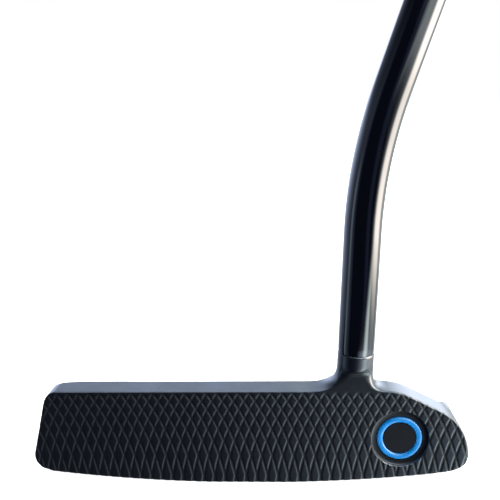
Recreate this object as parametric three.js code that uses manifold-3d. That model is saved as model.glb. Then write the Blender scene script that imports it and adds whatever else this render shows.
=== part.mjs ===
// A right-handed blade putter, in millimetres. The sole rests on Z = 0, the face looks along -Y, the toe
// is at -X and the heel at +X. The origin is the middle of the flat landing on the sole.

import * as THREE from 'three';
import { mergeVertices } from 'three/addons/utils/BufferGeometryUtils.js';
import Module from 'manifold-3d';

const rad = THREE.MathUtils.degToRad;

// Blade.
const LOFT = rad(3);              // the face leans back by this much
const BLADE_TOP = 25.4;           // height of the top line above the sole
const TOP_LINE_DEPTH = 6.9;       // front edge to back edge of the top line
const HEAD_DEPTH = 28;            // leading edge to the back of the flange
const SOLE_RADIUS = 440;          // heel-to-toe camber
const LANDING_HALF = 10;          // half the length of the flat on the sole
const LANDING_FROM = 1.4;         // the flat's front and back, behind the leading edge
const LANDING_TO = 15;
const SOLE_CORNER = { toe: [-53.4, 7.6, 4.1], heel: [53.2, 7.6, 4.2] };   // x, z, radius
const TOE_SHOULDER = { x: -50.4, radius: 3.9 };   // corner between the toe and the top line
const HEEL_NOSE = { x: 43.9, z: 7.7, radius: 13.5 };
const HEEL_SLOPE = rad(27);       // the straight fall from the top line to the heel nose
const CORNER_RADIUS = 13;         // back corners of the head, seen from above

// Cavity behind the face, with a bumper on either side of it.
const CAVITY_HALF = 35;
const FLANGE_TOP = 7.5;
const CAVITY_CORNER = 4;
const BUMPER_FRONT_HEIGHT = 16;
const BUMPER_BACK_HEIGHT = 12;

// Neck and the post inside the shaft. The axis crosses SEAM_HEIGHT at NECK_X.
const NECK_X = 28.25;
const NECK_Y = 4.8;
const NECK_LEAN = rad(2.3);
const SEAM_HEIGHT = 35.2;
const NECK_FILLET = 4;
const LEDGE_HEIGHT = 30.7;        // below this the front of the neck is milled flush with the face
const POST_RADIUS = 3.75;
const POST_LENGTH = 24;

// Shaft.
const TIP_RADIUS = 4.7;
const BUTT_RADIUS = 7.35;
const WALL = 0.55;
const BEND_START = 31.5;          // distance along the shaft from the seam
const BEND_RADIUS = 120;
const UPPER_LEAN = rad(19.5);     // lie angle 70.5 degrees
const STEP_START = 190;
const STEP_COUNT = 12;
const STEP_SPACING = 30;
const STEP_RISE = 1.5;            // length of the cone at each step
const CLUB_LENGTH = 864;          // ground to cap along the upper shaft's line, 34 inches

// Grip.
const GRIP_LENGTH = 266;
const GRIP_LOWER = { half: 9.4, thumb: 9.4, palm: 9.6 };      // half-width and depths at the lower end
const GRIP_UPPER = { half: 13.2, thumb: 11.6, palm: 13.4 };   // the same at the cap
const GRIP_SWELL = { height: 4.2, at: 0.8, spread: 0.16 };    // the pistol swell on the palm side
const GRIP_FLAT = 0.72;           // share of the half-width that is flat on the thumb side
const TAPE_THICKNESS = 0.25;
const CAP_THICKNESS = 3;

// Coloured fills.
const RING_X = 39.5;
const RING_HEIGHT = 12.3;         // measured up the face from the leading edge
const POCKET_RADIUS = 7.5;
const POCKET_DEPTH = 0.7;
const RING_OUTER = 6;
const RING_INNER = 4.2;
const GROOVE_DEPTH = 0.7;
const SIGHT_WIDTH = 1.6;
const SIGHT_FROM = 10;
const SIGHT_TO = 26.5;
const CLEARANCE = 0.12;           // glue or paint line between two pieces

const ROUND_SEGMENTS = 28;

const wasm = await Module();
wasm.setup();

function toSolid(geometry) {
  const bare = geometry.clone();
  bare.deleteAttribute('normal');
  bare.deleteAttribute('uv');
  const merged = mergeVertices(bare, 1e-4);
  return new wasm.Manifold(new wasm.Mesh({
    numProp: 3,
    vertProperties: new Float32Array(merged.attributes.position.array),
    triVerts: new Uint32Array(merged.index.array),
  }));
}

function toGeometry(solid) {
  const mesh = solid.getMesh();
  const geometry = new THREE.BufferGeometry();
  geometry.setAttribute('position', new THREE.BufferAttribute(mesh.vertProperties, 3));
  geometry.setIndex(new THREE.BufferAttribute(mesh.triVerts, 1));
  return geometry;
}

// Extrudes an outline drawn in (x, z) along +Y, from y0 to y1.
function extrudeAlongY(shape, y0, y1, curveSegments = 12) {
  const geometry = new THREE.ExtrudeGeometry(shape, { depth: y1 - y0, bevelEnabled: false, curveSegments });
  return geometry.rotateX(Math.PI / 2).translate(0, y1, 0);
}

// Extrudes an outline drawn in (y, z) along +X, from x0 to x1.
function extrudeAlongX(shape, x0, x1, curveSegments = 12) {
  const geometry = new THREE.ExtrudeGeometry(shape, { depth: x1 - x0, bevelEnabled: false, curveSegments });
  return geometry.rotateX(Math.PI / 2).rotateZ(Math.PI / 2).translate(x0, 0, 0);
}

// Extrudes an outline drawn in (x, y) along +Z, from z0 to z1.
function extrudeAlongZ(shape, z0, z1, curveSegments = 12) {
  const geometry = new THREE.ExtrudeGeometry(shape, { depth: z1 - z0, bevelEnabled: false, curveSegments });
  return geometry.translate(0, 0, z0);
}

// A lathed solid whose axis is Z, from a closed profile of [radius, z] pairs.
function turned(profile, segments = ROUND_SEGMENTS) {
  const points = profile.map(([radius, z]) => new THREE.Vector2(radius, z));
  return new THREE.LatheGeometry(points, segments).rotateX(Math.PI / 2);
}

// A straight tube standing on z0.
function tube(inner, outer, z0, z1) {
  return turned([[inner, z0], [outer, z0], [outer, z1], [inner, z1], [inner, z0]]);
}

function faceY(z) {
  return z * Math.tan(LOFT);
}

// Moves a geometry drawn around the neck's axis, with z = 0 at the seam, to its place on the head.
function ontoNeck(geometry) {
  return geometry.rotateY(NECK_LEAN).translate(NECK_X, NECK_Y, SEAM_HEIGHT);
}

// The head seen from the front, with the camber, the toe and the falling heel.
function frontOutline() {
  const centreZ = Math.sqrt(SOLE_RADIUS ** 2 - LANDING_HALF ** 2);
  const [toeX, toeZ, toeR] = SOLE_CORNER.toe;
  const [heelX, heelZ, heelR] = SOLE_CORNER.heel;
  const landingAngle = Math.asin(LANDING_HALF / SOLE_RADIUS);
  const shoulderZ = BLADE_TOP - TOE_SHOULDER.radius;
  const slopeX = HEEL_NOSE.x + HEEL_NOSE.radius * Math.sin(HEEL_SLOPE);
  const slopeZ = HEEL_NOSE.z + HEEL_NOSE.radius * Math.cos(HEEL_SLOPE);
  const topEndX = slopeX - (BLADE_TOP - slopeZ) / Math.tan(HEEL_SLOPE);
  const down = -Math.PI / 2;
  const soleEnd = 0.12;       // angles at which one arc hands over to the next
  const cornerStart = 0.25;
  const toeLean = 0.2;

  const shape = new THREE.Shape();
  shape.moveTo(LANDING_HALF, 0);
  shape.absarc(0, centreZ, SOLE_RADIUS, down + landingAngle, down + soleEnd, false);
  shape.absarc(heelX, heelZ, heelR, down + cornerStart, 0, false);
  shape.absarc(HEEL_NOSE.x, HEEL_NOSE.z, HEEL_NOSE.radius, 0, Math.PI / 2 - HEEL_SLOPE, false);
  shape.lineTo(topEndX, BLADE_TOP);
  shape.lineTo(TOE_SHOULDER.x, BLADE_TOP);
  shape.absarc(TOE_SHOULDER.x, shoulderZ, TOE_SHOULDER.radius, Math.PI / 2, Math.PI - toeLean, false);
  shape.absarc(toeX, toeZ, toeR, Math.PI - toeLean, Math.PI * 1.5 - cornerStart, false);
  shape.absarc(0, centreZ, SOLE_RADIUS, down - soleEnd, down - landingAngle, false);
  shape.closePath();
  return shape;
}

// The head seen from the side, bumpers included: leading edge, sole, back, bumper and blade.
function sideOutline() {
  const wall = faceY(BLADE_TOP) + TOP_LINE_DEPTH;
  const back = HEAD_DEPTH;
  const leadingRound = 1;
  const soleBend = 22;                            // where the sole begins to rise towards the back
  const rearEdge = { inset: 0.6, low: 2.4, middle: 2.6, high: 3.4 };
  const backLean = 0.4;
  const backRound = { depth: 5, height: 3 };
  const saddle = { from: 14.5, middle: 17, to: 20, drop: 1, dip: 0.4 };   // between the bumper's heights
  const wallRound = 3;
  const topBreak = { back: 0.6, face: 0.3 };

  const shape = new THREE.Shape();
  shape.moveTo(faceY(leadingRound), leadingRound);
  shape.quadraticCurveTo(faceY(0), 0, LANDING_FROM, 0);
  shape.lineTo(LANDING_TO, 0);
  shape.quadraticCurveTo(soleBend, 0, back - rearEdge.inset, rearEdge.low);
  shape.quadraticCurveTo(back, rearEdge.middle, back, rearEdge.high);
  shape.lineTo(back - backLean, BUMPER_BACK_HEIGHT - backRound.height);
  shape.quadraticCurveTo(back - backLean, BUMPER_BACK_HEIGHT, back - backRound.depth, BUMPER_BACK_HEIGHT);
  shape.quadraticCurveTo(
    saddle.to, BUMPER_BACK_HEIGHT + saddle.dip, saddle.middle, BUMPER_FRONT_HEIGHT - saddle.drop,
  );
  shape.quadraticCurveTo(saddle.from, BUMPER_FRONT_HEIGHT, wall + wallRound, BUMPER_FRONT_HEIGHT);
  shape.quadraticCurveTo(wall, BUMPER_FRONT_HEIGHT, wall, BUMPER_FRONT_HEIGHT + wallRound);
  shape.lineTo(wall, BLADE_TOP - topBreak.back);
  shape.lineTo(wall - topBreak.back, BLADE_TOP);
  shape.lineTo(faceY(BLADE_TOP) + topBreak.face, BLADE_TOP);
  shape.lineTo(faceY(BLADE_TOP - topBreak.face), BLADE_TOP - topBreak.face);
  shape.closePath();
  return shape;
}

// The head seen from above, with its rounded back corners.
function planOutline() {
  const front = -1;
  const beyond = 60;          // past the ends, whose shape the front outline gives
  const cornerFrom = 6;
  const cornerX = 56.5 - CORNER_RADIUS;
  const cornerY = HEAD_DEPTH - CORNER_RADIUS;
  const endLean = 0.15;
  const shape = new THREE.Shape();
  shape.moveTo(-beyond, front);
  shape.lineTo(beyond, front);
  shape.lineTo(beyond, cornerFrom);
  shape.absarc(cornerX, cornerY, CORNER_RADIUS, endLean, Math.PI / 2, false);
  shape.absarc(-cornerX, cornerY, CORNER_RADIUS, Math.PI / 2, Math.PI - endLean, false);
  shape.lineTo(-beyond, cornerFrom);
  shape.closePath();
  return shape;
}

// The space above the flange, open at the back.
function cavity() {
  const wall = faceY(BLADE_TOP) + TOP_LINE_DEPTH;
  const shape = new THREE.Shape();
  const inner = CAVITY_HALF - CAVITY_CORNER;
  const behind = HEAD_DEPTH + 2;
  const flare = 3;            // the bumpers' inner sides open out towards the back by this much
  shape.moveTo(CAVITY_HALF + flare, behind);
  shape.lineTo(-CAVITY_HALF - flare, behind);
  shape.lineTo(-CAVITY_HALF, wall + CAVITY_CORNER);
  shape.absarc(-inner, wall + CAVITY_CORNER, CAVITY_CORNER, Math.PI, Math.PI * 1.5, false);
  shape.absarc(inner, wall + CAVITY_CORNER, CAVITY_CORNER, Math.PI * 1.5, Math.PI * 2, false);
  shape.closePath();
  return extrudeAlongZ(shape, FLANGE_TOP, BLADE_TOP + 5, 6);
}

// The flared root of the neck. Its foot narrows so that it runs out on the back of the blade.
function neckRoot() {
  const filletFoot = BLADE_TOP - SEAM_HEIGHT;
  const foot = { radius: 3.2, depth: 9 };
  const throat = { radius: 4.6, depth: 1.5 };
  const profile = [
    [0, filletFoot - foot.depth],
    [foot.radius, filletFoot - foot.depth],
    [throat.radius, filletFoot - throat.depth],
  ];
  const steps = 6;
  for (let i = 0; i <= steps; i++) {
    const angle = (i / steps) * (Math.PI / 2);
    profile.push([
      TIP_RADIUS + NECK_FILLET * (1 - Math.sin(angle)),
      filletFoot + NECK_FILLET * (1 - Math.cos(angle)),
    ]);
  }
  const top = LEDGE_HEIGHT - SEAM_HEIGHT + 0.4;
  profile.push([TIP_RADIUS, top], [0, top]);
  const root = toSolid(ontoNeck(turned(profile)));

  // Keeps what lies between the face and the tangent at the back of the neck.
  const slab = new THREE.Shape();
  const back = NECK_Y + TIP_RADIUS;
  const low = 10;
  const reach = 12;
  slab.moveTo(faceY(low), low);
  slab.lineTo(back, low);
  slab.lineTo(back, LEDGE_HEIGHT);
  slab.lineTo(faceY(LEDGE_HEIGHT), LEDGE_HEIGHT);
  slab.closePath();
  return root.intersect(toSolid(extrudeAlongX(slab, NECK_X - reach, NECK_X + reach)));
}

// The round of the neck up to the seam, and the post on top of it.
function neckAndPost() {
  const bottom = LEDGE_HEIGHT - SEAM_HEIGHT - 0.3;
  const chamfer = 1;
  return ontoNeck(turned([
    [0, bottom],
    [TIP_RADIUS, bottom],
    [TIP_RADIUS, -CLEARANCE],
    [POST_RADIUS, -CLEARANCE],
    [POST_RADIUS, POST_LENGTH - chamfer],
    [POST_RADIUS - chamfer, POST_LENGTH],
    [0, POST_LENGTH],
  ]));
}

// Turns a geometry whose axis is Z and whose outside is at z = 0 so that +Z leaves the face at the ring.
function ontoFace(geometry) {
  const y = RING_HEIGHT * Math.sin(LOFT);
  const z = RING_HEIGHT * Math.cos(LOFT);
  return geometry.rotateX(Math.PI / 2 - LOFT).translate(RING_X, y, z);
}

function pocket() {
  const draft = 0.3;
  const above = 1;
  return ontoFace(turned([
    [0, -POCKET_DEPTH],
    [POCKET_RADIUS - draft, -POCKET_DEPTH],
    [POCKET_RADIUS, above],
    [0, above],
  ]));
}

function ringGroove() {
  const bottom = -POCKET_DEPTH - GROOVE_DEPTH;
  return ontoFace(tube(RING_INNER, RING_OUTER, bottom, 0));
}

function sightGroove() {
  const box = new THREE.BoxGeometry(SIGHT_WIDTH, SIGHT_TO - SIGHT_FROM, 2 * GROOVE_DEPTH);
  return box.translate(0, (SIGHT_FROM + SIGHT_TO) / 2, FLANGE_TOP);
}

function putterHead() {
  const margin = 2;           // how far each outline is drawn out past the head
  const halfWidth = 60;
  const front = extrudeAlongY(frontOutline(), -margin, HEAD_DEPTH + margin);
  const side = extrudeAlongX(sideOutline(), -halfWidth - margin, halfWidth + margin, 8);
  const plan = extrudeAlongZ(planOutline(), -margin, BLADE_TOP + margin);
  let head = toSolid(front).intersect(toSolid(side)).intersect(toSolid(plan));
  head = head.subtract(toSolid(cavity()));
  head = head.add(neckRoot());
  head = head.add(toSolid(neckAndPost()));
  head = head.subtract(toSolid(pocket()));
  head = head.subtract(toSolid(ringGroove()));
  head = head.subtract(toSolid(sightGroove()));
  return toGeometry(head);
}

function faceRingEnamel() {
  const inner = RING_INNER + CLEARANCE;
  const outer = RING_OUTER - CLEARANCE;
  const bottom = -POCKET_DEPTH - GROOVE_DEPTH + CLEARANCE;
  const proud = 0.15;         // the fill stands this much above the pocket's floor
  const top = -POCKET_DEPTH + proud;
  const bevel = 0.35;
  return ontoFace(turned([
    [inner, bottom],
    [outer, bottom],
    [outer, top - bevel],
    [outer - bevel, top],
    [inner + bevel, top],
    [inner, top - bevel],
    [inner, bottom],
  ]));
}

function sightLineEnamel() {
  const width = SIGHT_WIDTH - 2 * CLEARANCE;
  const length = SIGHT_TO - SIGHT_FROM - 2 * CLEARANCE;
  const height = GROOVE_DEPTH - 2 * CLEARANCE;
  const box = new THREE.BoxGeometry(width, length, height);
  return box.translate(0, (SIGHT_FROM + SIGHT_TO) / 2, FLANGE_TOP - GROOVE_DEPTH + CLEARANCE + height / 2);
}

const BEND_LENGTH = BEND_RADIUS * (UPPER_LEAN - NECK_LEAN);

// Where the shaft's centre line is, and how far it leans, at a distance from the seam.
function centreLine(distance) {
  const straight = Math.min(distance, BEND_START);
  const turn = THREE.MathUtils.clamp(distance - BEND_START, 0, BEND_LENGTH) / BEND_RADIUS;
  const beyond = Math.max(distance - BEND_START - BEND_LENGTH, 0);
  const lean = NECK_LEAN + turn;
  const x = NECK_X + straight * Math.sin(NECK_LEAN) + beyond * Math.sin(lean)
    + BEND_RADIUS * (Math.cos(NECK_LEAN) - Math.cos(lean));
  const z = SEAM_HEIGHT + straight * Math.cos(NECK_LEAN) + beyond * Math.cos(lean)
    + BEND_RADIUS * (Math.sin(lean) - Math.sin(NECK_LEAN));
  return { x, z, lean };
}

// Bends a geometry drawn straight up Z, with z = 0 at the seam, so that it follows the centre line.
function bent(geometry) {
  const position = geometry.attributes.position;
  for (let i = 0; i < position.count; i++) {
    const { x, z, lean } = centreLine(position.getZ(i));
    const across = position.getX(i);
    position.setXYZ(i, x + across * Math.cos(lean), NECK_Y + position.getY(i), z - across * Math.sin(lean));
  }
  return geometry;
}

// The cap closes the club: its top is CLUB_LENGTH from the ground along the upper shaft.
const afterBend = centreLine(BEND_START + BEND_LENGTH);
const CAP_TOP = BEND_START + BEND_LENGTH + CLUB_LENGTH - afterBend.z / Math.cos(UPPER_LEAN);
const SHAFT_END = CAP_TOP - CAP_THICKNESS - 1;
const GRIP_START = CAP_TOP - GRIP_LENGTH;

function shaftProfile() {
  const outer = [[TIP_RADIUS, CLEARANCE]];
  const bendRings = 10;
  for (let i = 0; i <= bendRings; i++) {
    outer.push([TIP_RADIUS, BEND_START + (BEND_LENGTH * i) / bendRings]);
  }
  const bendOnly = outer.slice(1);
  const grow = (BUTT_RADIUS - TIP_RADIUS) / STEP_COUNT;
  for (let i = 0; i < STEP_COUNT; i++) {
    const z = STEP_START + i * STEP_SPACING;
    outer.push([TIP_RADIUS + grow * i, z], [TIP_RADIUS + grow * (i + 1), z + STEP_RISE]);
  }
  outer.push([BUTT_RADIUS, SHAFT_END]);

  // The bore widens in one long cone, which starts below the first step and ends above the last.
  const coneStart = STEP_START - 10;
  const coneEnd = STEP_START + STEP_COUNT * STEP_SPACING + 20;
  const inner = [
    [BUTT_RADIUS - WALL, SHAFT_END],
    [BUTT_RADIUS - WALL, coneEnd],
    [TIP_RADIUS - WALL, coneStart],
    ...bendOnly.reverse().map(([radius, z]) => [radius - WALL, z]),
    [TIP_RADIUS - WALL, CLEARANCE],
  ];
  return [...outer, ...inner, outer[0]];
}

function shaft() {
  return bent(turned(shaftProfile()));
}

function shaftBond() {
  const inner = POST_RADIUS + CLEARANCE;
  const outer = TIP_RADIUS - WALL - CLEARANCE;
  const bottom = 1;
  const top = POST_LENGTH - 1.5;
  return bent(tube(inner, outer, bottom, top));
}

function gripTape() {
  const inner = BUTT_RADIUS + CLEARANCE;
  const bottom = GRIP_START + 4;
  const top = SHAFT_END - 2;
  return bent(tube(inner, inner + TAPE_THICKNESS, bottom, top));
}

// Half-width, thumb-side depth and palm-side depth of the grip, at a fraction of its length from the
// lower end. The palm side swells into the pistol shape under the upper hand.
function gripSection(along) {
  const size = (side) => THREE.MathUtils.lerp(GRIP_LOWER[side], GRIP_UPPER[side], along);
  const swell = GRIP_SWELL.height * Math.exp(-(((along - GRIP_SWELL.at) / GRIP_SWELL.spread) ** 2));
  return { half: size('half'), thumb: size('thumb'), palm: size('palm') + swell };
}

// The grip is flat on its thumb side, which is turned to -X, and round on its palm side.
function gripOutline() {
  const shape = new THREE.Shape();
  const flat = GRIP_FLAT;
  shape.moveTo(-1, -flat);
  shape.quadraticCurveTo(-1, -1, -flat, -1);
  shape.lineTo(0, -1);
  shape.absellipse(0, 0, 1, 1, -Math.PI / 2, Math.PI / 2, false);
  shape.lineTo(-flat, 1);
  shape.quadraticCurveTo(-1, 1, -1, flat);
  shape.closePath();
  return shape;
}

// Draws the unit outline out to the grip's section at every height. The bore keeps its size.
function grip() {
  const bore = new THREE.Path();
  const boreRadius = BUTT_RADIUS + TAPE_THICKNESS + 2 * CLEARANCE;
  const unitBore = 0.5;
  bore.absarc(0, 0, unitBore, 0, Math.PI * 2, true);
  const shape = gripOutline();
  shape.holes.push(bore);
  const length = CAP_TOP - CAP_THICKNESS - CLEARANCE - GRIP_START;
  const geometry = new THREE.ExtrudeGeometry(shape, {
    depth: 1, steps: 18, bevelEnabled: false, curveSegments: 12,
  });
  const position = geometry.attributes.position;
  for (let i = 0; i < position.count; i++) {
    const x = position.getX(i);
    const y = position.getY(i);
    const along = position.getZ(i);
    const radius = Math.hypot(x, y);
    const { half, thumb, palm } = gripSection(along);
    const isBore = radius < unitBore * 1.02;
    const scaleX = isBore ? boreRadius / radius : (x < 0 ? thumb : palm);
    const scaleY = isBore ? boreRadius / radius : half;
    position.setXYZ(i, x * scaleX, y * scaleY, GRIP_START + along * length);
  }
  return bent(geometry);
}

function gripCap() {
  const { half, thumb, palm } = gripSection(1);
  const geometry = new THREE.ExtrudeGeometry(gripOutline(), {
    depth: CAP_THICKNESS, bevelEnabled: false, curveSegments: 12,
  });
  const position = geometry.attributes.position;
  for (let i = 0; i < position.count; i++) {
    const x = position.getX(i);
    position.setX(i, x * (x < 0 ? thumb : palm));
    position.setY(i, position.getY(i) * half);
  }
  geometry.translate(0, 0, CAP_TOP - CAP_THICKNESS);
  return bent(geometry);
}

function piece(name, geometry, color, roughness, metalness) {
  const shaded = geometry.index ? geometry.toNonIndexed() : geometry;
  shaded.computeVertexNormals();
  const mesh = new THREE.Mesh(shaded, new THREE.MeshStandardMaterial({ color, roughness, metalness }));
  mesh.name = name;
  return mesh;
}

// The pieces are drawn with the leading edge on Y = 0, and the group brings the landing to the origin.
const putter = new THREE.Group();
putter.position.y = -(LANDING_FROM + LANDING_TO) / 2;
putter.add(
  piece('putter_head', putterHead(), 0x20242c, 0.5, 0.8),
  piece('face_ring_enamel', faceRingEnamel(), 0x1f7fe0, 0.25, 0.0),
  piece('sight_line_enamel', sightLineEnamel(), 0xe8ebee, 0.35, 0.0),
  piece('shaft', shaft(), 0x0b0c10, 0.08, 0.9),
  piece('shaft_bond', shaftBond(), 0xd8c9a0, 0.5, 0.0),
  piece('grip_tape', gripTape(), 0xe9e4d6, 0.9, 0.0),
  piece('grip', grip(), 0x17181b, 0.85, 0.0),
  piece('grip_cap', gripCap(), 0x111214, 0.7, 0.0),
);

export default putter;
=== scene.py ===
import math

import bpy
import numpy as np
from mathutils import Matrix, Vector


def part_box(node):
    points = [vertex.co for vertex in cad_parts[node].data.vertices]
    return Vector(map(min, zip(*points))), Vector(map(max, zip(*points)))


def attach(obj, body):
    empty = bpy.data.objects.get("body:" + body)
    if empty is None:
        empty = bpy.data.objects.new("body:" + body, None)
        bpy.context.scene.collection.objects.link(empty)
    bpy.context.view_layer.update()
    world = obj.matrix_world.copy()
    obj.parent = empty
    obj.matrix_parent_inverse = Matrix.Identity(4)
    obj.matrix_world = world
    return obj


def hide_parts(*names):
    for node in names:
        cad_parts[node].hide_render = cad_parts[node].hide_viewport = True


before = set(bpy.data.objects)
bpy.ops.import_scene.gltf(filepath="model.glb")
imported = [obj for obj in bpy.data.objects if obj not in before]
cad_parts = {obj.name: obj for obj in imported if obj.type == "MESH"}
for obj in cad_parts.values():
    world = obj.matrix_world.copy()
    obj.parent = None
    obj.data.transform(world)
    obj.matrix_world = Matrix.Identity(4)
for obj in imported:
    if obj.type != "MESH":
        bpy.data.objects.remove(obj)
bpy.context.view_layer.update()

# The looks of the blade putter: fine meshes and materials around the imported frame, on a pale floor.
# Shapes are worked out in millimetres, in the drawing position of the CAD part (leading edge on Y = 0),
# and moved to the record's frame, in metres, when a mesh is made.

MM = 0.001

# ---------------------------------------------------------------- sizes, in millimetres

# The head's own box gives the blade's ends and depth. SHIFT_Y moves the drawing position, which has the
# leading edge on Y = 0, so that the middle of the flat on the sole is at the frame's origin.
HEAD_LOW, HEAD_HIGH = (np.array(c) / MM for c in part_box("putter_head"))
SHIFT_Y = -8.2
LOFT = math.radians(3)
BLADE_TOP = 25.4
TOP_LINE_DEPTH = 7.4
HEAD_DEPTH = HEAD_HIGH[1] - SHIFT_Y
SOLE_RADIUS = 440.0
LANDING_HALF = 10.0
LANDING_BACK = 15.0
# Corners of the blade seen from the front: x, z and radius, or x and radius under the top line.
TOE_SOLE_CORNER = (-53.4, 7.6, 4.1)
HEEL_SOLE_CORNER = (53.2, 7.6, 4.2)
TOE_SHOULDER = (-50.4, 3.9)
HEEL_NOSE = (43.9, 7.7, 13.5)
HEEL_SLOPE = math.radians(27)
HEEL_SOFTEN = 4.0
TOE_LEAN = 0.2
SOLE_END = 0.12
SOLE_CORNER_START = 0.25
PLAN_HALF, PLAN_TAPER = 59.4, 0.16
PLAN_CORNER = 13.0
WALL_Y = BLADE_TOP * math.tan(LOFT) + TOP_LINE_DEPTH

CAVITY_HALF = 35.0
CAVITY_CORNER = 4.0
FLANGE_TOP = 7.5
FLANGE_FALL = 0.035
BUMPER_FRONT = 16.0
BUMPER_BACK = 12.0
BUMPER_DIP_START, BUMPER_DIP_END = 17.0, 20.0

NECK_X, NECK_Y = 28.25, 4.8
NECK_LEAN = math.radians(2.3)
NECK_RADIUS = 4.7
NECK_SHOULDER = 0.03
NECK_FOOT = 16.0
NECK_TAPER = 0.16
TOP_CLIMB = 0.55
POST_RADIUS, POST_TIP_RADIUS, POST_TOP = 3.75, 2.75, 24.0
SEAM_HEIGHT = 35.2
LEDGE_HEIGHT = 30.7

SHAFT_WALL = 0.55
BUTT_RADIUS = 7.35
BEND_START = 31.5
BEND_RADIUS = 120.0
UPPER_LEAN = math.radians(19.5)
BEND_LENGTH = BEND_RADIUS * (UPPER_LEAN - NECK_LEAN)
STEP_START, STEP_COUNT, STEP_SPACING = 190.0, 12, 30.0
STEP_RISE = 1.5
TIP_ROUND, TIP_DROP = 2.0, 0.07

CAP_THICKNESS = 3.0
GRIP_LENGTH = 266.0
# The grip's half-width, thumb side and palm side: size at the lower end and growth over its length.
GRIP_HALF, GRIP_THUMB, GRIP_PALM = (9.4, 3.8), (9.4, 2.2), (9.6, 3.8)
GRIP_MEAN_RADIUS = 11.0
GRIP_SWELL, SWELL_PLACE, SWELL_SPREAD = 4.2, 0.8, 0.16
THUMB_FLAT = 0.72
RIB_SPACING, PIMPLE_SPACING = 2.4, 4.2
RIB_DEPTH, PIMPLE_DEPTH = 0.35, 0.3

# Milled face: two families of arcs cut by one wide fly cutter.
PITCH = 2.81
CUTTER_RADIUS = 58.84
CUTTER_HEIGHT = -9.35
FEED_RIGHT = 0.39
FEED_LEFT = 0.65
GROOVE_WIDTH = 0.82
GROOVE_DEPTH = 0.115
EDGE_ROUND = 0.4

RING_X, RING_HEIGHT = 39.5, 12.3
POCKET_RADIUS, POCKET_DEPTH = 7.5, 0.7
RING_OUTER, RING_INNER = 6.0, 4.2
RING_GROOVE = 0.7
RING_RISE, RING_SHOULDER, RING_CROWN = 0.4, 0.66, 0.02
GAP = 0.12


# ---------------------------------------------------------------- meshes

def new_object(name, vertices, faces, material, smooth_angle=None):
    """A mesh from drawing-position millimetres, with faces as lists or as an (n, 4) array of quads."""
    points = (np.asarray(vertices, float) + (0, SHIFT_Y, 0)) * MM
    mesh = bpy.data.meshes.new(name)
    faces = faces.tolist() if isinstance(faces, np.ndarray) else faces
    mesh.from_pydata(points.tolist(), [], faces)
    mesh.polygons.foreach_set("use_smooth", [True] * len(mesh.polygons))
    if smooth_angle is not None:
        mesh.set_sharp_from_angle(angle=math.radians(smooth_angle))
    mesh.materials.append(material)
    piece = bpy.data.objects.new(name, mesh)
    bpy.context.scene.collection.objects.link(piece)
    return piece


def combine(target, tool, operation):
    """Joins or cuts target with tool, keeps the result as target's mesh and deletes tool."""
    modifier = target.modifiers.new("combine", "BOOLEAN")
    modifier.operation = operation
    modifier.solver = "MANIFOLD"
    modifier.object = tool
    bpy.context.view_layer.update()
    graph = bpy.context.evaluated_depsgraph_get()
    result = bpy.data.meshes.new_from_object(target.evaluated_get(graph))
    target.modifiers.clear()
    target.data = result
    bpy.data.objects.remove(tool)


def arc(x, z, radius, start, end, count):
    """Points on an arc; angles in radians from +X, counter-clockwise when end is above start."""
    angles = np.linspace(start, end, count)
    return np.column_stack([x + radius * np.cos(angles), z + radius * np.sin(angles)])


def bezier(a, control, b, count):
    """Points on a curve from a to b that leaves and arrives along the lines to the control point."""
    t = np.linspace(0, 1, count)[:, None]
    a, control, b = (np.array(p, float) for p in (a, control, b))
    return (1 - t) ** 2 * a + 2 * t * (1 - t) * control + t ** 2 * b


# ---------------------------------------------------------------- distance fields

def outline_distance(outline, u, v):
    """Signed distance from points to a closed outline, negative inside."""
    u, v = np.broadcast_arrays(u, v)
    shape, u, v = u.shape, u.ravel(), v.ravel()
    nearest = np.full(u.shape, np.inf)
    inside = np.zeros(u.shape, bool)
    for (ax, ay), (bx, by) in zip(outline, np.roll(outline, -1, axis=0)):
        ex, ey = bx - ax, by - ay
        length = ex * ex + ey * ey
        if length < 1e-12:
            continue
        t = np.clip(((u - ax) * ex + (v - ay) * ey) / length, 0, 1)
        nearest = np.minimum(nearest, (u - ax - t * ex) ** 2 + (v - ay - t * ey) ** 2)
        crosses = (ay > v) != (by > v)
        if ay != by:
            inside ^= crosses & (u < ax + (v - ay) * ex / ey)
    return (np.sqrt(nearest) * np.where(inside, -1, 1)).reshape(shape)


def blend_min(a, b, size):
    """Union of two fields with a fillet of about the given size."""
    h = np.maximum(size - np.abs(a - b), 0) / size
    return np.minimum(a, b) - h * h * size / 4


def blend_max(a, b, size):
    """Intersection of two fields with a rounded edge of about the given size."""
    return -blend_min(-a, -b, size)


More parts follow.
